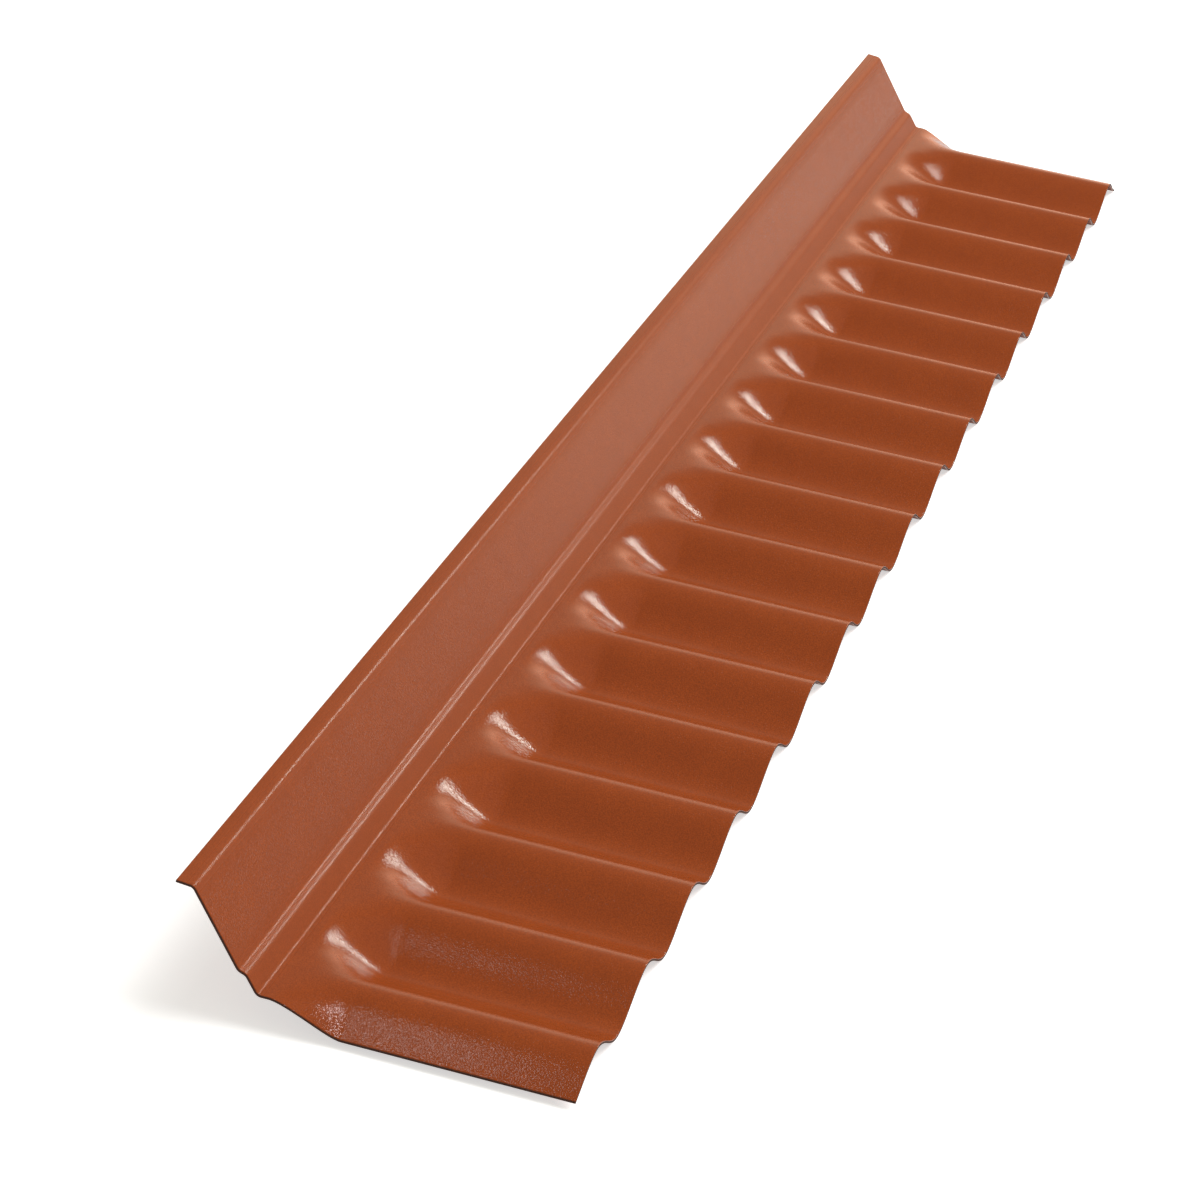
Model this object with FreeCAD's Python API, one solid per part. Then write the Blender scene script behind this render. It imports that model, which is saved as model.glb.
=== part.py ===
"""Corrugated apron flashing: one formed plastic sheet, modelled in millimetres.

X runs along the length, from the near cut end to the far one. Y runs across the sheet, from
the free edge of the apron to the upstand, and Z is up. The sheet lies on the undersides of its
troughs, with the origin on the floor in the middle of its footprint.
"""
import math
import os
import FreeCAD
import Part

# Sheet, and the waves along its length
SHEET_THICKNESS = 1.1
WAVE_PITCH = 62.0
CREST_COUNT = 17
WAVE_DEPTH = 11.2
NEAR_MARGIN = 21.8
FAR_MARGIN = 28.1

# Apron, across its width: flat strip, closed end of the troughs, troughs at full depth
STRIP_WIDTH = 3.6
TROUGH_END_LENGTH = 26.4
TROUGH_LENGTH = 81.0

# How far the rounding at the top and at the bottom of a trough's end pulls its slope
SHOULDER_REACH = 3.6
TROUGH_FOOT_REACH = 4.6

# Half way along its closed end a trough is shallower, and narrower: its flanks start further
# from the crest line there, which gives the end its thumb shape
HALFWAY_DEPTH = 6.2
HALFWAY_FLANK_START = 10.4

# Upstand: the length of each leg on the front skin, and its rise from the level in degrees
FOOT_LENGTH = 7.8
FOOT_RISE = 54.5
STEP_LENGTH = 3.0
STEP_RISE = 19.0
PANEL_LENGTH = 32.3
PANEL_RISE = 55.2
LIP_LENGTH = 6.5
LIP_RISE = 5.0

# Inside radii of the bends
FOOT_BEND_RADIUS = 2.0
STEP_BEND_RADIUS = 2.6
LIP_BEND_RADIUS = 2.0

# A bend takes at most this share of the shorter leg beside it
BEND_SHARE_OF_LEG = 0.45

# The sheet is formed over whole waves and trimmed after; the blank sticks out this far
TRIM_ALLOWANCE = 10.0


def sheet_length():
    """Length of the sheet between its two cut ends."""
    return NEAR_MARGIN + (CREST_COUNT - 1) * WAVE_PITCH + FAR_MARGIN


def wave_knots():
    """Places along the wave where its cubics meet, each with its distance from the nearest crest."""
    waves_before = math.ceil(NEAR_MARGIN / WAVE_PITCH)
    waves_after = math.ceil(FAR_MARGIN / WAVE_PITCH)
    first = NEAR_MARGIN - waves_before * WAVE_PITCH
    count = waves_before + CREST_COUNT - 1 + waves_after
    knots = []
    for wave in range(count):
        crest = first + wave * WAVE_PITCH
        knots.append((crest, 0.0))
        knots.append((crest + HALFWAY_FLANK_START, HALFWAY_FLANK_START))
        knots.append((crest + WAVE_PITCH / 2.0, WAVE_PITCH / 2.0))
        knots.append((crest + WAVE_PITCH - HALFWAY_FLANK_START, HALFWAY_FLANK_START))
    knots.append((first + count * WAVE_PITCH, 0.0))
    return knots


def flank_dip(from_crest, flank_start):
    """Dip of a flank, from 0 at its start to 1 in the trough, and its slope: a cubic with level ends."""
    run = WAVE_PITCH / 2.0 - flank_start
    share = max(from_crest - flank_start, 0.0) / run
    return share**2 * (3.0 - 2.0 * share), 6.0 * share * (1.0 - share) / run


def wave_poles(flank_start):
    """Place and dip of each pole of a wave, with one cubic between each knot and the next."""
    knots = wave_knots()
    poles = [(knots[0][0], 0.0)]
    for (start, start_from_crest), (end, end_from_crest) in zip(knots, knots[1:]):
        third = (end - start) / 3.0
        start_dip, start_slope = flank_dip(start_from_crest, flank_start)
        end_dip, end_slope = flank_dip(end_from_crest, flank_start)
        way = math.copysign(1.0, end_from_crest - start_from_crest)
        poles.append((start + third, start_dip + way * start_slope * third))
        poles.append((end - third, end_dip - way * end_slope * third))
        poles.append((end, end_dip))
    return poles


def wave_surface(rows):
    """Skin drawn by rows of poles, each with its distance from the bend, depth and flank start.

    Along the waves it is cubic, and across them one span that blends all the rows.
    """
    columns = []
    for reach, depth, flank_start in rows:
        columns.append([FreeCAD.Vector(x, -reach, -depth * dip) for x, dip in wave_poles(flank_start)])
    poles = [list(row) for row in zip(*columns)]
    places = [place for place, _ in wave_knots()]
    along = 3
    across = len(rows) - 1
    along_multiplicities = [along + 1] + [along] * (len(places) - 2) + [along + 1]
    across_multiplicities = [across + 1, across + 1]
    surface = Part.BSplineSurface()
    surface.buildFromPolesMultsKnots(
        poles, along_multiplicities, across_multiplicities, places, [0.0, 1.0], False, False, along, across
    )
    return surface.toShape()


def trough_ends():
    """Closed, rounded ends of the troughs, between the flat strip and the full depth."""
    shoulder = STRIP_WIDTH + SHOULDER_REACH
    full_depth = STRIP_WIDTH + TROUGH_END_LENGTH
    foot = full_depth - TROUGH_FOOT_REACH
    rows = [
        (STRIP_WIDTH, 0.0, 0.0),
        (shoulder, 0.0, 0.0),
        ((shoulder + foot) / 2.0, HALFWAY_DEPTH, HALFWAY_FLANK_START),
        (foot, WAVE_DEPTH, 0.0),
        (full_depth, WAVE_DEPTH, 0.0),
    ]
    return wave_surface(rows)


def troughs():
    """Troughs at full depth, carried straight past the free edge."""
    full_depth = STRIP_WIDTH + TROUGH_END_LENGTH
    past_edge = apron_width() + TRIM_ALLOWANCE
    return wave_surface([(full_depth, WAVE_DEPTH, 0.0), (past_edge, WAVE_DEPTH, 0.0)])


def apron_width():
    """Width of the apron from the bend to the free edge."""
    return STRIP_WIDTH + TROUGH_END_LENGTH + TROUGH_LENGTH


def apron():
    """The corrugated skins, given their thickness downwards."""
    downwards = FreeCAD.Vector(0.0, 0.0, -SHEET_THICKNESS)
    return trough_ends().extrude(downwards).fuse(troughs().extrude(downwards))


def leg_direction(rise):
    """Unit vector of a leg that rises by an angle from the level."""
    angle = math.radians(rise)
    return FreeCAD.Vector(0.0, math.cos(angle), math.sin(angle))


def back_normal(rise):
    """Unit vector that points out of the back of a leg."""
    angle = math.radians(rise)
    return FreeCAD.Vector(0.0, math.sin(angle), -math.cos(angle))


def upstand_legs():
    """Length and rise of each straight leg, from the flat strip to the lip."""
    return [
        (STRIP_WIDTH, 0.0),
        (FOOT_LENGTH, FOOT_RISE),
        (STEP_LENGTH, STEP_RISE),
        (PANEL_LENGTH, PANEL_RISE),
        (LIP_LENGTH, LIP_RISE),
    ]


def front_corners(legs):
    """Sharp corners of the front skin, from the trough ends to the tip of the lip."""
    corners = [FreeCAD.Vector(0.0, -STRIP_WIDTH, 0.0)]
    for length, rise in legs:
        corners.append(corners[-1] + leg_direction(rise) * length)
    return corners


def back_corners(corners, legs):
    """Sharp corners of the back skin, one sheet thickness behind the front ones."""
    normals = [back_normal(rise) for _, rise in legs]
    shifted = [corners[0] + normals[0] * SHEET_THICKNESS]
    for corner, before, after in zip(corners[1:-1], normals, normals[1:]):
        mitre = (before + after) * (SHEET_THICKNESS / (1.0 + before.dot(after)))
        shifted.append(corner + mitre)
    shifted.append(corners[-1] + normals[-1] * SHEET_THICKNESS)
    return shifted


def bend_radii(legs):
    """Inside radius of each bend, kept small enough for the legs on both sides of it."""
    wanted = [FOOT_BEND_RADIUS, STEP_BEND_RADIUS, STEP_BEND_RADIUS, LIP_BEND_RADIUS]
    radii = []
    for radius, before, after in zip(wanted, legs, legs[1:]):
        half_turn = math.radians(abs(after[1] - before[1])) / 2.0
        room = BEND_SHARE_OF_LEG * min(before[0], after[0])
        largest = room / math.tan(half_turn) - SHEET_THICKNESS
        radii.append(max(min(radius, largest), 0.0))
    return radii


def skin_edges(corners, radii):
    """Straight runs through the corners, with a tangent arc at each bend."""
    edges = []
    start = corners[0]
    for corner, following, radius in zip(corners[1:-1], corners[2:], radii):
        arriving = (corner - start).normalize()
        leaving = (following - corner).normalize()
        half_turn = arriving.getAngle(leaving) / 2.0
        reach = radius * math.tan(half_turn)
        inward = (leaving - arriving).normalize()
        arc_start = corner - arriving * reach
        arc_middle = corner + inward * (radius / math.cos(half_turn) - radius)
        arc_end = corner + leaving * reach
        edges.append(Part.LineSegment(start, arc_start).toShape())
        edges.append(Part.Arc(arc_start, arc_middle, arc_end).toShape())
        start = arc_end
    edges.append(Part.LineSegment(start, corners[-1]).toShape())
    return edges


def upstand():
    """Flat strip, foot, step, panel and lip: one bent section, carried along the length."""
    legs = upstand_legs()
    front = front_corners(legs)
    back = back_corners(front, legs)
    turns = [after[1] - before[1] for before, after in zip(legs, legs[1:])]
    inside = bend_radii(legs)
    front_radii = [radius if turn > 0 else radius + SHEET_THICKNESS for radius, turn in zip(inside, turns)]
    back_radii = [radius + SHEET_THICKNESS if turn > 0 else radius for radius, turn in zip(inside, turns)]
    strip_cap = Part.LineSegment(back[0], front[0]).toShape()
    lip_cap = Part.LineSegment(front[-1], back[-1]).toShape()
    outline = skin_edges(front, front_radii) + [lip_cap] + skin_edges(back, back_radii)[::-1] + [strip_cap]
    section = Part.Face(Part.Wire(outline))
    knots = wave_knots()
    blank_start = knots[0][0]
    section.translate(FreeCAD.Vector(blank_start, 0.0, 0.0))
    return section.extrude(FreeCAD.Vector(knots[-1][0] - blank_start, 0.0, 0.0))


def lip_reach():
    """How far the lip stands out behind the bend."""
    legs = upstand_legs()
    front = front_corners(legs)
    return max(front[-1].y, back_corners(front, legs)[-1].y)


def trim_block(blank):
    """Block that the sheet is cut to, at both ends and along the free edge."""
    height = blank.BoundBox.ZLength + 2.0 * TRIM_ALLOWANCE
    width = apron_width() + lip_reach() + TRIM_ALLOWANCE
    corner = FreeCAD.Vector(0.0, -apron_width(), blank.BoundBox.ZMin - TRIM_ALLOWANCE)
    return Part.makeBox(sheet_length(), width, height, corner)


def apron_flashing():
    """The whole sheet as one solid, with the origin under the middle of its footprint."""
    blank = upstand().fuse(apron())
    sheet = blank.common(trim_block(blank))
    middle = (lip_reach() - apron_width()) / 2.0
    sheet.translate(FreeCAD.Vector(-sheet_length() / 2.0, -middle, WAVE_DEPTH + SHEET_THICKNESS))
    return sheet.Solids[0]


os.makedirs("parts", exist_ok=True)
flashing = apron_flashing()
flashing.exportStep("parts/apron_flashing.step")
print("volume", round(flashing.Volume), "valid", flashing.isValid(), "faces", len(flashing.Faces))
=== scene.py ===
"""Dressed model of a corrugated apron flashing, in metres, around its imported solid.

The flashing is one formed sheet of terracotta plastic. X runs along its length, Y from the free
edge of the corrugated apron to the upstand, and Z is up, with the floor at zero.
"""
import logging
import math
from dataclasses import dataclass, field
from enum import Enum

import bpy
import numpy as np
from mathutils import Matrix, Vector


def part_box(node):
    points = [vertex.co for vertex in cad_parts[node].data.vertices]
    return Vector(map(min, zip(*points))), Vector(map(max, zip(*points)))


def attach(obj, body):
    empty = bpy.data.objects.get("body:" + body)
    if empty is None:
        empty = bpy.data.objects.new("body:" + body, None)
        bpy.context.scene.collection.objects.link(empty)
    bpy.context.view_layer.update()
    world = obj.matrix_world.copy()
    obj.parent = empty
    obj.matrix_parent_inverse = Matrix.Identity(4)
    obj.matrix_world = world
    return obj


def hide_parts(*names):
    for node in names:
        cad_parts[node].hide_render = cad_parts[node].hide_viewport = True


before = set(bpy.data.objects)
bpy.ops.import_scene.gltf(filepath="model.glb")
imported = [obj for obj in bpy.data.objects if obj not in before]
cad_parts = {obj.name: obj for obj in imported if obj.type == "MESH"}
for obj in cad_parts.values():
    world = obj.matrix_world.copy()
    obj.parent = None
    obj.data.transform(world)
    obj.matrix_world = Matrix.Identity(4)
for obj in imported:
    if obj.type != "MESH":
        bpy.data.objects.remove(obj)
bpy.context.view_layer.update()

LOG = logging.getLogger("apron_flashing")
MM = 0.001
NODE = "apron_flashing"

# Distances of the rows and columns beside a cut edge, as multiples of the rim radius
RIM_STEPS = np.array([0.0, 0.3, 1.0, 2.0])

# Mesh attributes that the finish reads: 1 on a cut edge, where it paints shade and roughens the gloss, and 1
# in a bend of the upstand
RIM_ATTRIBUTE = "rim"
BEND_ATTRIBUTE = "bend"

Colour = tuple[float, float, float]
Place = tuple[float, float, float]

# Rows of the upstand: points (rows, 2) as Y and Z on the front skin, unit normals (rows, 2) that
# point out of the back, and 1 for each row in a bend with 0 for the others
Rows = tuple[np.ndarray, np.ndarray, np.ndarray]


def leg_way(rise: float) -> np.ndarray:
    """Unit vector along a leg of the given rise in radians, as Y and Z."""
    return np.array([math.cos(rise), math.sin(rise)])


def back_way(rise: float) -> np.ndarray:
    """Unit vector out of the back of a leg of the given rise in radians, as Y and Z."""
    return np.array([math.sin(rise), -math.cos(rise)])


@dataclass(frozen=True)
class Leg:
    """A straight leg of the upstand: its length, its rise from the level and the bend before it.

    Lengths are in metres and the rise in radians. The bend radius is that of its inner side.
    """

    length: float
    rise: float
    bend_radius: float


@dataclass
class SheetSection:
    """Section of the sheet across its width, from the free edge to the tip of the lip.

    Sizes are in metres. Stations are given on the front skin, with Y zero at the first bend and
    Z zero at the crests.
    """

    thickness: float = 1.1 * MM
    strip_width: float = 3.6 * MM
    trough_end_length: float = 26.4 * MM
    trough_length: float = 81.0 * MM
    shoulder_reach: float = 3.6 * MM
    trough_foot_reach: float = 4.6 * MM
    rim_radius: float = 0.25 * MM
    legs: tuple[Leg, ...] = (
        Leg(7.8 * MM, math.radians(54.5), 2.0 * MM),
        Leg(3.0 * MM, math.radians(19.0), 2.6 * MM),
        Leg(32.3 * MM, math.radians(55.2), 2.6 * MM),
        Leg(6.5 * MM, math.radians(5.0), 2.0 * MM),
    )
    rows_in_trough: int = 12
    rows_in_trough_end: int = 26
    rows_in_bend: int = 6
    rows_in_panel: int = 5

    def apron_width(self) -> float:
        """Width of the apron from the first bend to the free edge."""
        return self.strip_width + self.trough_end_length + self.trough_length

    def trough_end_curve(self, count: int) -> tuple[np.ndarray, np.ndarray, np.ndarray]:
        """Distance from the strip, and weights of the full and the narrow wave, along a closed end.

        Five control rows are blended by the quartic Bernstein polynomials, C(4, i) v^i (1 - v)^(4 - i).
        The first two rows lie level with the strip, the third holds the narrow wave and the last two
        the full one.

        Args:
            count: how many values to give, ends included.

        Returns:
            The distances in metres, and the weights of the full and of the narrow wave.
        """
        degree = 4
        v = np.linspace(0.0, 1.0, count)
        rows = [math.comb(degree, i) * v**i * (1.0 - v) ** (degree - i) for i in range(degree + 1)]
        length = self.trough_end_length
        late = length - self.trough_foot_reach
        places = [0.0, self.shoulder_reach, (self.shoulder_reach + late) / 2, late, length]
        distance = sum(place * row for place, row in zip(places, rows))
        return distance, rows[3] + rows[4], rows[2]

    def apron_rows(self) -> tuple[np.ndarray, np.ndarray, np.ndarray]:
        """Y and weights of the two waves for the rows of the apron, from the free edge inwards.

        Returns:
            Y in metres and the weights, with the flat strip's first row last.
        """
        free_edge = -self.apron_width()
        full_depth = -self.strip_width - self.trough_end_length
        rim = free_edge + self.rim_radius * RIM_STEPS
        run = np.linspace(rim[-1], full_depth, self.rows_in_trough + 1)[1:]
        distance, full, narrow = self.trough_end_curve(self.rows_in_trough_end)
        end_y = (-self.strip_width - distance)[::-1][1:]
        straight_count = len(rim) + len(run)
        full = np.concatenate([np.ones(straight_count), full[::-1][1:]])
        narrow = np.concatenate([np.zeros(straight_count), narrow[::-1][1:]])
        return np.concatenate([rim, run, end_y]), full, narrow

    def front_radius(self, rise: float, leg: Leg) -> float:
        """Front skin's radius in a leg's bend, a thickness more than the inner one if it turns down."""
        return leg.bend_radius + (0.0 if leg.rise > rise else self.thickness)

    def bend_reach(self, rise: float, leg: Leg) -> float:
        """Distance from a bend's corner to either end of its arc, r tan(turn / 2)."""
        return self.front_radius(rise, leg) * math.tan(abs(leg.rise - rise) / 2)

    def bend_rows(self, corner: np.ndarray, rise: float, leg: Leg) -> Rows:
        """Rows of a bend, on an arc that is tangent to the legs on both sides.

        Each row lies on a circle of the front radius, whose centre is on the inner side of the
        bend, and its normal turns evenly from the normal of one leg to that of the next.

        Args:
            corner: Y and Z of the point where the two legs would meet.
            rise: the rise before the bend, in radians.
            leg: the leg after the bend.

        Returns:
            The rows of the bend.
        """
        turn = leg.rise - rise
        side = math.copysign(1.0, turn)
        radius = self.front_radius(rise, leg)
        start = corner - self.bend_reach(rise, leg) * leg_way(rise)
        centre = start - side * radius * back_way(rise)
        angle = rise + turn * np.linspace(0.0, 1.0, self.rows_in_bend)
        outward = np.stack([np.sin(angle), -np.cos(angle)], axis=1)
        return centre + side * radius * outward, outward, np.ones(self.rows_in_bend)

    def straight_rows(self, corner: np.ndarray, rise: float, way: np.ndarray) -> Rows:
        """Rows on a straight leg, at a corner plus a way along the leg.

        Args:
            corner: Y and Z of the corner that the way is counted from.
            rise: the rise of the leg, in radians.
            way: the rows' distances from the corner, in metres, below zero for rows before it.

        Returns:
            The rows of the leg.
        """
        points = corner + way[:, None] * leg_way(rise)
        return points, np.repeat([back_way(rise)], len(way), axis=0), np.zeros(len(way))

    def upstand_rows(self) -> Rows:
        """Rows of the upstand, from the first bend to the lip's tip.

        The straight legs join through the arcs of their bends. The panel, which is the longest
        leg, has rows of its own between its two bends, and the lip has rows beside its cut edge.

        Returns:
            The rows of the upstand.
        """
        corner = np.zeros(2)
        rise = 0.0
        panel = max(self.legs, key=lambda leg: leg.length)
        parts = []
        for index, leg in enumerate(self.legs):
            parts.append(self.bend_rows(corner, rise, leg))
            if leg is panel:
                start = self.bend_reach(rise, leg)
                end = leg.length - self.bend_reach(leg.rise, self.legs[index + 1])
                way = np.linspace(start, end, self.rows_in_panel + 2)[1:-1]
                parts.append(self.straight_rows(corner, leg.rise, way))
            corner = corner + leg.length * leg_way(leg.rise)
            rise = leg.rise
        parts.append(self.straight_rows(corner, rise, -self.rim_radius * RIM_STEPS[::-1]))
        points, normals, bent = zip(*parts)
        return np.concatenate(points), np.concatenate(normals), np.concatenate(bent)


@dataclass
class NodeDesk:
    """Node tree of a material, with the few kinds of node that its finish is made from."""

    nodes: bpy.types.Nodes
    links: bpy.types.NodeLinks
    place: bpy.types.NodeSocket

    @classmethod
    def of(cls, material: bpy.types.Material) -> "NodeDesk":
        """Opens a material's tree, with Object coordinates ready to be read.

        Args:
            material: a material that uses nodes.

        Returns:
            The desk for its tree.
        """
        tree = material.node_tree
        coordinates = tree.nodes.new("ShaderNodeTexCoord")
        return cls(tree.nodes, tree.links, coordinates.outputs["Object"])

    def noise(self, size: float, detail: float) -> bpy.types.NodeSocket:
        """Noise on Object coordinates.

        Args:
            size: the size of its features, in metres.
            detail: how many finer layers it has.

        Returns:
            The noise, mostly between 0.3 and 0.7.
        """
        node = self.nodes.new("ShaderNodeTexNoise")
        node.inputs["Scale"].default_value = 1.0 / size
        node.inputs["Detail"].default_value = detail
        self.links.new(self.place, node.inputs["Vector"])
        return node.outputs["Fac"]

    def attribute(self, name: str) -> bpy.types.NodeSocket:
        """Value of a mesh attribute.

        Args:
            name: the attribute's name.

        Returns:
            Its value.
        """
        node = self.nodes.new("ShaderNodeAttribute")
        node.attribute_name = name
        return node.outputs["Fac"]

    def remap(
        self,
        value: bpy.types.NodeSocket,
        low: float | bpy.types.NodeSocket,
        high: float,
        start: float = 0.0,
        end: float = 1.0,
    ) -> bpy.types.NodeSocket:
        """Maps a value evenly from start..end to low..high, and holds it there.

        Args:
            value: the value to map.
            low: what it gives at the start.
            high: what it gives at the end.
            start: the value up to which it gives low.
            end: the value from which it gives high.

        Returns:
            The mapped value.
        """
        node = self.nodes.new("ShaderNodeMapRange")
        node.inputs["From Min"].default_value = start
        node.inputs["From Max"].default_value = end
        node.inputs["To Max"].default_value = high
        if isinstance(low, float):
            node.inputs["To Min"].default_value = low
        else:
            self.links.new(low, node.inputs["To Min"])
        self.links.new(value, node.inputs["Value"])
        return node.outputs["Result"]

    def blend(
        self, first: Colour | bpy.types.NodeSocket, second: Colour, share: bpy.types.NodeSocket
    ) -> bpy.types.NodeSocket:
        """Mixes two colours.

        Args:
            first: the colour at a share of 0.
            second: the colour at a share of 1.
            share: how much of the second colour there is.

        Returns:
            The mixed colour.
        """
        node = self.nodes.new("ShaderNodeMix")
        node.data_type = "RGBA"
        self.links.new(share, node.inputs["Factor"])
        if isinstance(first, tuple):
            node.inputs["A"].default_value = (*first, 1.0)
        else:
            self.links.new(first, node.inputs["A"])
        node.inputs["B"].default_value = (*second, 1.0)
        return node.outputs["Result"]


@dataclass(frozen=True)
class TerracottaPlastic:
    """Satin terracotta plastic with a fine pebbled grain, matter on its cut edges, where a painted shade
    darkens the colour.

    Sizes are in metres. The grain is calmer, and the gloss softer, in the bends.
    """

    name: str = "terracotta_plastic"
    body: Colour = (0.342, 0.0600, 0.0070)
    deep: Colour = (0.316, 0.0535, 0.0060)
    speck: Colour = (0.225, 0.0380, 0.0040)
    # Painted shade: a near-black brown for the cut edges, standing in for the shadow on them
    cut_edge_painted_shade: Colour = (0.045, 0.012, 0.005)
    refraction: float = 1.49
    roughness: float = 0.14
    bend_roughness: float = 0.32
    edge_roughness: float = 0.8
    mottle_size: float = 14.0 * MM
    mottle_detail: float = 3.0
    speck_size: float = 0.5 * MM
    speck_detail: float = 2.0
    speck_share: float = 0.9
    noise_band: tuple[float, float] = (0.35, 0.65)
    grain_size: float = 0.68 * MM
    grain_detail: float = 1.0
    grain_height: float = 0.09 * MM
    grain_in_bends: float = 0.08

    def colour(self, desk: NodeDesk, rim: bpy.types.NodeSocket) -> bpy.types.NodeSocket:
        """Colour of the plastic, from a slow mottle of two terracottas under a fine darker speckle.

        Args:
            desk: the material's nodes.
            rim: 1 on a cut edge and 0 elsewhere.

        Returns:
            The colour, which goes at the rim to a painted shade: a near-black brown standing in for the cut
            edges' shadow.
        """
        mottle = desk.noise(self.mottle_size, self.mottle_detail)
        speckle = desk.noise(self.speck_size, self.speck_detail)
        skin = desk.blend(self.body, self.deep, desk.remap(mottle, 0.0, 1.0, *self.noise_band))
        skin = desk.blend(skin, self.speck, desk.remap(speckle, 0.0, self.speck_share, *self.noise_band))
        # Painted shade: the cut edges take a near-black brown that stands in for the shadow on them
        return desk.blend(skin, self.cut_edge_painted_shade, rim)

    def gloss(
        self, desk: NodeDesk, rim: bpy.types.NodeSocket, bend: bpy.types.NodeSocket
    ) -> bpy.types.NodeSocket:
        """Roughness that is higher in the bends, and highest on the cut edges.

        Args:
            desk: the material's nodes.
            rim: 1 on a cut edge and 0 elsewhere.
            bend: 1 in a bend of the upstand and 0 elsewhere.

        Returns:
            The roughness.
        """
        skin = desk.remap(bend, self.roughness, self.bend_roughness)
        return desk.remap(rim, skin, self.edge_roughness)

    def grain(self, desk: NodeDesk, bend: bpy.types.NodeSocket) -> bpy.types.NodeSocket:
        """Bump of the fine grain, which fades in the bends.

        Args:
            desk: the material's nodes.
            bend: 1 in a bend of the upstand and 0 elsewhere.

        Returns:
            The bumped normal.
        """
        node = desk.nodes.new("ShaderNodeBump")
        node.inputs["Distance"].default_value = self.grain_height
        desk.links.new(desk.noise(self.grain_size, self.grain_detail), node.inputs["Height"])
        desk.links.new(desk.remap(bend, 1.0, self.grain_in_bends), node.inputs["Strength"])
        return node.outputs["Normal"]

    def material(self) -> bpy.types.Material:
        """Makes the material from procedural nodes on Object coordinates and two mesh attributes.

        Returns:
            The finished material.
        """
        material = bpy.data.materials.new(self.name)
        material.use_nodes = True
        desk = NodeDesk.of(material)
        shader = desk.nodes["Principled BSDF"]
        rim = desk.attribute(RIM_ATTRIBUTE)
        bend = desk.attribute(BEND_ATTRIBUTE)
        desk.links.new(self.colour(desk, rim), shader.inputs["Base Color"])
        desk.links.new(self.gloss(desk, rim, bend), shader.inputs["Roughness"])
        desk.links.new(self.grain(desk, bend), shader.inputs["Normal"])
        shader.inputs["IOR"].default_value = self.refraction
        return material


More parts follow.
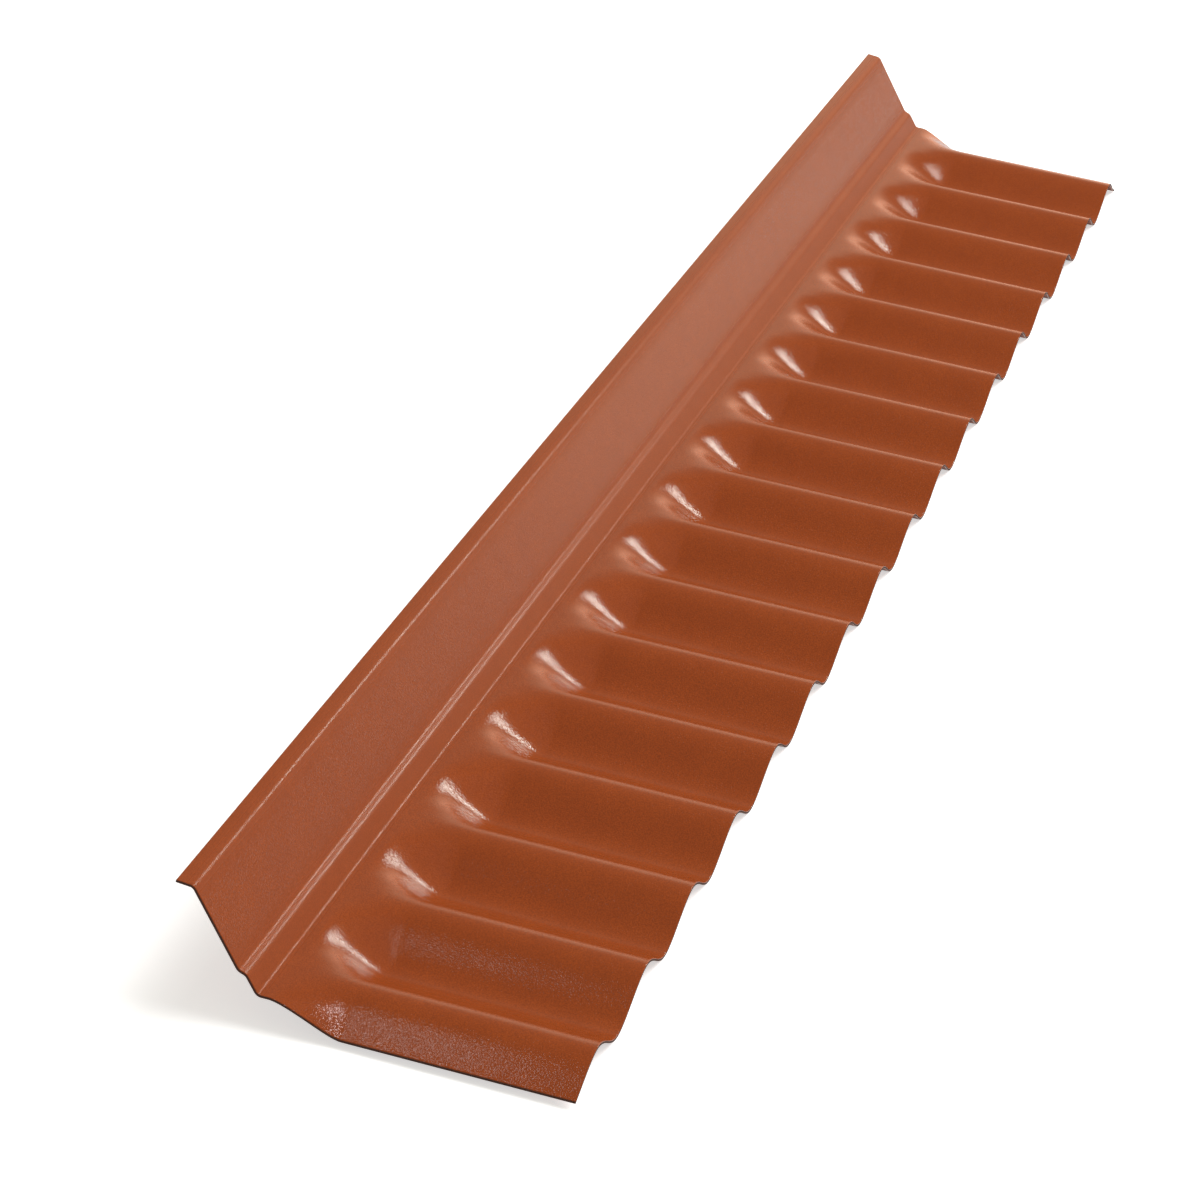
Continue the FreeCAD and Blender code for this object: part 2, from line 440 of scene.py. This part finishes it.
@dataclass
class ApronFlashing:
    """The formed sheet: an apron of closed-ended troughs and a bent upstand, in one piece.

    Sizes are in metres. Between the flat strip and the full depth of the troughs, the wave passes
    through a shallower and narrower one, whose flanks start further from the crest.
    """

    section: SheetSection = field(default_factory=SheetSection)
    finish: TerracottaPlastic = field(default_factory=TerracottaPlastic)
    wave_pitch: float = 62.0 * MM
    wave_depth: float = 11.2 * MM
    near_margin: float = 21.8 * MM
    halfway_depth: float = 6.2 * MM
    halfway_flank_start: float = 10.4 * MM
    columns_per_wave: int = 30

    def place(self) -> tuple[float, float, float, float]:
        """Where the sheet lies in the frame, from the box of its solid.

        Returns:
            X of the near end, X of the far end, Y of the first bend and Z of the crests.
        """
        low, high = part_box(NODE)
        return low[0], high[0], low[1] + self.section.apron_width(), self.wave_depth + self.section.thickness

    def dip(self, x: np.ndarray, flank_start: float = 0.0) -> np.ndarray:
        """Dip of the wave from 0 on a crest to 1 in a trough.

        Each flank is the cubic 3u^2 - 2u^3, where u runs from 0 to 1 between the flank's start and
        the middle of the trough.

        Args:
            x: distances from the near end, in metres.
            flank_start: how far from its crest the flank starts, in metres.

        Returns:
            The dip at each distance.
        """
        turns = (x - self.near_margin) / self.wave_pitch
        from_crest = np.abs((turns + 0.5) % 1.0 - 0.5) * self.wave_pitch
        share = np.maximum(from_crest - flank_start, 0.0) / (self.wave_pitch / 2 - flank_start)
        return 3 * share**2 - 2 * share**3

    def columns(self, length: float) -> np.ndarray:
        """Places of the columns of the grid, evenly spaced but closer at the rounded rims.

        Args:
            length: the length of the sheet, in metres.

        Returns:
            Their distances from the near end, in metres.
        """
        rim = self.section.rim_radius * RIM_STEPS
        count = round(length / self.wave_pitch * self.columns_per_wave)
        inner = np.linspace(rim[-1], length - rim[-1], count)
        return np.concatenate([rim[:-1], inner, length - rim[-2::-1]])

    def half_thickness(self, along: np.ndarray, across: np.ndarray) -> np.ndarray:
        """Half the thickness of the sheet, which rounds off towards the cut edges.

        At a distance d from a cut edge, under the rim radius r, it is less by
        r - sqrt(r^2 - (r - d)^2).

        Args:
            along: distances of the columns from the near end, in metres.
            across: distances of the rows from the free edge, along the skin, in metres.

        Returns:
            An array (columns, rows) in metres.
        """
        to_ends = np.minimum(along, along[-1] - along)
        to_sides = np.minimum(across, across[-1] - across)
        distance = np.minimum(to_ends[:, None], to_sides[None, :])
        radius = self.section.rim_radius
        inside = radius - np.minimum(distance, radius)
        return self.section.thickness / 2 - radius + np.sqrt(radius**2 - inside**2)

    def skins(self) -> tuple[np.ndarray, np.ndarray]:
        """Points of the front and back skins on one grid of columns and rows.

        The front surface lies below the crests by the full wave's dip and the narrow wave's, each
        times its depth and its row's weight. The two skins lie half a thickness before and behind
        the middle surface.

        Returns:
            Two arrays (columns, rows, 3) in the frame's metres.
        """
        near_x, far_x, bend_y, crest_z = self.place()
        apron_y, full, narrow = self.section.apron_rows()
        upstand, upstand_back, _ = self.section.upstand_rows()
        no_wave = np.zeros(len(upstand))
        full = np.concatenate([full, no_wave])
        narrow = np.concatenate([narrow, no_wave])
        row_y = np.concatenate([apron_y, upstand[:, 0]])
        row_z = np.concatenate([np.zeros(len(apron_y)), upstand[:, 1]])
        along = self.columns(far_x - near_x)
        across = np.concatenate([[0.0], np.cumsum(np.hypot(np.diff(row_y), np.diff(row_z)))])
        full_dip = self.wave_depth * self.dip(along)
        narrow_dip = self.halfway_depth * self.dip(along, self.halfway_flank_start)
        front = np.empty((len(along), len(row_y), 3))
        front[..., 0] = (near_x + along)[:, None]
        front[..., 1] = bend_y + row_y
        front[..., 2] = crest_z + row_z - full * full_dip[:, None] - narrow * narrow_dip[:, None]
        to_back = np.zeros((1, len(row_y), 3))
        to_back[0, :len(apron_y), 2] = -1.0
        to_back[0, len(apron_y):, 1:] = upstand_back
        middle = front + to_back * self.section.thickness / 2
        offset = to_back * self.half_thickness(along, across)[..., None]
        return middle - offset, middle + offset

    def build(self) -> bpy.types.Object:
        """Makes the sheet as one closed mesh: two skins, joined by a band around their rim.

        Returns:
            The sheet's object, at the origin.
        """
        front, back = self.skins()
        columns, rows = front.shape[:2]
        skin_points = columns * rows
        index = np.arange(skin_points).reshape(columns, rows)
        a, b = index[:-1, :-1], index[1:, :-1]
        c, d = index[1:, 1:], index[:-1, 1:]
        front_faces = np.stack([a, b, c, d], axis=-1).reshape(-1, 4)
        back_faces = front_faces[:, ::-1] + skin_points
        rim = np.concatenate([index[:-1, 0], index[-1, :-1], index[:0:-1, -1], index[0, :0:-1]])
        following = np.roll(rim, -1)
        rim_faces = np.stack([following, rim, rim + skin_points, following + skin_points], axis=-1)
        points = np.concatenate([front.reshape(-1, 3), back.reshape(-1, 3)])
        mesh = bpy.data.meshes.new("flashing_sheet")
        mesh.from_pydata(points, [], np.concatenate([front_faces, back_faces, rim_faces]))
        self.mark(mesh, columns, rows)
        mesh.update()
        sheet = bpy.data.objects.new("flashing_sheet", mesh)
        bpy.context.scene.collection.objects.link(sheet)
        return sheet

    def mark(self, mesh: bpy.types.Mesh, columns: int, rows: int) -> None:
        """Adds the attributes that the finish reads, and smooth shading on the skins.

        Args:
            mesh: the sheet's mesh, with the band around its rim after the faces of the skins.
            columns: how many columns each skin's grid has.
            rows: how many rows each skin's grid has.
        """
        on_rim = np.zeros((columns, rows))
        on_rim[[0, -1], :] = 1.0
        on_rim[:, [0, -1]] = 1.0
        bent = self.section.upstand_rows()[2]
        in_bend = np.zeros((columns, rows))
        in_bend[:, rows - len(bent):] = bent
        for name, grid in ((RIM_ATTRIBUTE, on_rim), (BEND_ATTRIBUTE, in_bend)):
            attribute = mesh.attributes.new(name, "FLOAT", "POINT")
            attribute.data.foreach_set("value", np.tile(grid.ravel(), 2).astype(np.float32))
        smooth = np.ones(len(mesh.polygons), bool)
        smooth[2 * (columns - 1) * (rows - 1):] = False
        mesh.polygons.foreach_set("use_smooth", smooth)

    def dress(self, sheet: bpy.types.Object) -> None:
        """Gives the sheet its finish and its place in the frame.

        Args:
            sheet: the sheet's object.
        """
        sheet.data.materials.append(self.finish.material())
        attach(sheet, "root")
        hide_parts(NODE)


class LampRole(Enum):
    """What a lamp of the studio is for."""

    KEY = "key"
    OVERHEAD = "overhead"
    SPARK = "spark"
    HORIZON_LEFT = "horizon_left"
    HORIZON_MIDDLE = "horizon_middle"
    HORIZON_RIGHT = "horizon_right"
    GLOW_LEFT = "glow_left"
    GLOW_RIGHT = "glow_right"
    FILL = "fill"


@dataclass(frozen=True)
class Lamp:
    """A soft rectangular lamp: its place, the point it faces, its size in metres, power and tint.

    The spread is the full angle of its beam, in radians.
    """

    role: LampRole
    place: Place
    aim: Place
    size: tuple[float, float]
    power: float
    tint: Colour = (1.0, 1.0, 1.0)
    lights_surfaces: bool = True
    shows_in_gloss: bool = True
    spread: float = math.pi

    def build(self) -> bpy.types.Object:
        """Makes the lamp, facing its aim point.

        Returns:
            The lamp's object.
        """
        data = bpy.data.lights.new(self.role.value, "AREA")
        data.shape = "RECTANGLE"
        data.size, data.size_y = self.size
        data.energy = self.power
        data.color = self.tint
        data.spread = self.spread
        lamp = bpy.data.objects.new(self.role.value, data)
        towards = Vector(self.aim) - Vector(self.place)
        turn = towards.to_track_quat("-Z", "Y").to_matrix().to_4x4()
        lamp.matrix_world = Matrix.Translation(self.place) @ turn
        lamp.visible_camera = False
        lamp.visible_diffuse = self.lights_surfaces
        lamp.visible_glossy = self.shows_in_gloss
        bpy.context.scene.collection.objects.link(lamp)
        return lamp


@dataclass
class Studio:
    """White floor, soft lamps, pale surroundings and the camera."""

    floor_size: float = 12.0
    floor_colour: Colour = (0.78, 0.78, 0.78)
    floor_lift: float = 0.6
    floor_lift_in_gloss: float = 0.1
    surroundings_tint: Colour = (1.0, 0.96, 0.78)
    surroundings_strength: float = 0.3
    white_strength: float = 1.0
    camera_place: Place = (-1.7472, -0.3267, 0.7502)
    camera_right: Place = (0.27111, -0.95374, 0.12995)
    camera_ahead: Place = (0.88920, 0.19646, -0.41319)
    camera_reach: float = 50.0
    sensor: float = 36.0
    lens: float = 133.70
    lamps: tuple[Lamp, ...] = (
        Lamp(
            LampRole.KEY, (0.88, -0.34, 0.70), (0.0, -0.34, 0.0), (0.20, 0.12), 1.72,
            tint=(0.95, 1.0, 0.9), lights_surfaces=False,
        ),
        Lamp(LampRole.OVERHEAD, (-0.49, 0.13, 0.62), (-0.50, 0.0, 0.0), (0.06, 0.06), 0.08),
        Lamp(
            LampRole.SPARK, (-0.434, -0.042, 0.45), (-0.51, 0.01, 0.0), (0.035, 0.035), 0.0013,
            lights_surfaces=False, spread=math.radians(17.0),
        ),
        Lamp(
            LampRole.HORIZON_LEFT, (3.0, 0.98, 0.35), (0.0, 0.98, 0.35), (1.25, 0.70), 1.6,
            tint=(1.0, 0.50, 0.33),
        ),
        Lamp(
            LampRole.HORIZON_MIDDLE, (3.0, -0.03, 0.35), (0.0, -0.03, 0.35), (0.76, 0.70), 2.4,
            tint=(1.0, 0.52, 0.34),
        ),
        Lamp(
            LampRole.HORIZON_RIGHT, (3.0, -1.22, 0.35), (0.0, -1.22, 0.35), (0.66, 0.70), 0.85,
            tint=(1.0, 0.62, 0.42),
        ),
        Lamp(
            LampRole.GLOW_LEFT, (3.0, 0.60, 0.95), (0.0, 0.60, 0.35), (2.0, 0.50), 1.4,
            tint=(1.0, 0.80, 0.56),
        ),
        Lamp(
            LampRole.GLOW_RIGHT, (3.0, -1.60, 0.95), (0.0, -1.60, 0.35), (2.4, 0.50), 0.9,
            tint=(1.0, 0.62, 0.42),
        ),
        Lamp(
            LampRole.FILL, (1.55, -1.9, 3.9), (0.0, 0.0, 0.0), (4.0, 4.0), 268.0,
            shows_in_gloss=False,
        ),
    )

    def floor(self) -> None:
        """Makes the white floor, which keeps the sheet's soft shadow."""
        half = self.floor_size / 2
        corners = [(-half, -half, 0.0), (half, -half, 0.0), (half, half, 0.0), (-half, half, 0.0)]
        mesh = bpy.data.meshes.new("floor")
        mesh.from_pydata(corners, [], [(0, 1, 2, 3)])
        mesh.materials.append(self.floor_material())
        floor = bpy.data.objects.new("floor", mesh)
        bpy.context.scene.collection.objects.link(floor)

    def floor_material(self) -> bpy.types.Material:
        """White diffuse floor with a lift that only the camera and gloss see.

        The lift's strength is Is Camera Ray times one number plus Is Glossy Ray times another.

        Returns:
            The floor's material.
        """
        material = bpy.data.materials.new("white_floor")
        material.use_nodes = True
        nodes, links = material.node_tree.nodes, material.node_tree.links
        nodes.clear()
        path = nodes.new("ShaderNodeLightPath")
        diffuse = nodes.new("ShaderNodeBsdfDiffuse")
        diffuse.inputs["Color"].default_value = (*self.floor_colour, 1.0)
        in_gloss = nodes.new("ShaderNodeMath")
        in_gloss.operation = "MULTIPLY"
        in_gloss.inputs[1].default_value = self.floor_lift_in_gloss
        links.new(path.outputs["Is Glossy Ray"], in_gloss.inputs[0])
        seen = nodes.new("ShaderNodeMath")
        seen.operation = "MULTIPLY_ADD"
        seen.inputs[1].default_value = self.floor_lift
        links.new(path.outputs["Is Camera Ray"], seen.inputs[0])
        links.new(in_gloss.outputs[0], seen.inputs[2])
        lift = nodes.new("ShaderNodeEmission")
        links.new(seen.outputs[0], lift.inputs["Strength"])
        both = nodes.new("ShaderNodeAddShader")
        links.new(diffuse.outputs[0], both.inputs[0])
        links.new(lift.outputs[0], both.inputs[1])
        output = nodes.new("ShaderNodeOutputMaterial")
        links.new(both.outputs[0], output.inputs["Surface"])
        return material

    def surroundings(self) -> None:
        """Lights the scene from all round at a plain level, with white behind for the camera."""
        world = bpy.data.worlds.new("surroundings")
        bpy.context.scene.world = world
        world.use_nodes = True
        nodes, links = world.node_tree.nodes, world.node_tree.links
        nodes.clear()
        path = nodes.new("ShaderNodeLightPath")
        plain = nodes.new("ShaderNodeBackground")
        plain.inputs["Color"].default_value = (*self.surroundings_tint, 1.0)
        plain.inputs["Strength"].default_value = self.surroundings_strength
        white = nodes.new("ShaderNodeBackground")
        white.inputs["Strength"].default_value = self.white_strength
        choose = nodes.new("ShaderNodeMixShader")
        links.new(path.outputs["Is Camera Ray"], choose.inputs["Fac"])
        links.new(plain.outputs[0], choose.inputs[1])
        links.new(white.outputs[0], choose.inputs[2])
        output = nodes.new("ShaderNodeOutputWorld")
        links.new(choose.outputs[0], output.inputs["Surface"])

    def camera(self) -> None:
        """Puts the camera at the photograph's place, angle and field of view."""
        data = bpy.data.cameras.new("camera")
        data.sensor_fit = "HORIZONTAL"
        data.sensor_width = self.sensor
        data.lens = self.lens
        data.clip_end = self.camera_reach
        back = -Vector(self.camera_ahead).normalized()
        right = Vector(self.camera_right)
        right = (right - right.dot(back) * back).normalized()
        up = back.cross(right)
        turn = Matrix((right, up, back)).transposed()
        camera = bpy.data.objects.new("camera", data)
        camera.matrix_world = Matrix.Translation(self.camera_place) @ turn.to_4x4()
        bpy.context.scene.collection.objects.link(camera)
        bpy.context.scene.camera = camera

    def build(self) -> None:
        """Makes the floor, the surroundings, the lamps and the camera."""
        self.floor()
        self.surroundings()
        for lamp in self.lamps:
            lamp.build()
        self.camera()
        bpy.context.scene.view_settings.view_transform = "Standard"


def main() -> None:
    """Builds the flashing and the studio, in order, and reports each piece."""
    logging.basicConfig(level=logging.INFO, format="%(name)s: %(message)s")
    flashing = ApronFlashing()
    sheet = flashing.build()
    flashing.dress(sheet)
    LOG.info("%s has %d faces", sheet.name, len(sheet.data.polygons))
    Studio().build()
    LOG.info("studio is ready")


if __name__ == "__main__":
    main()
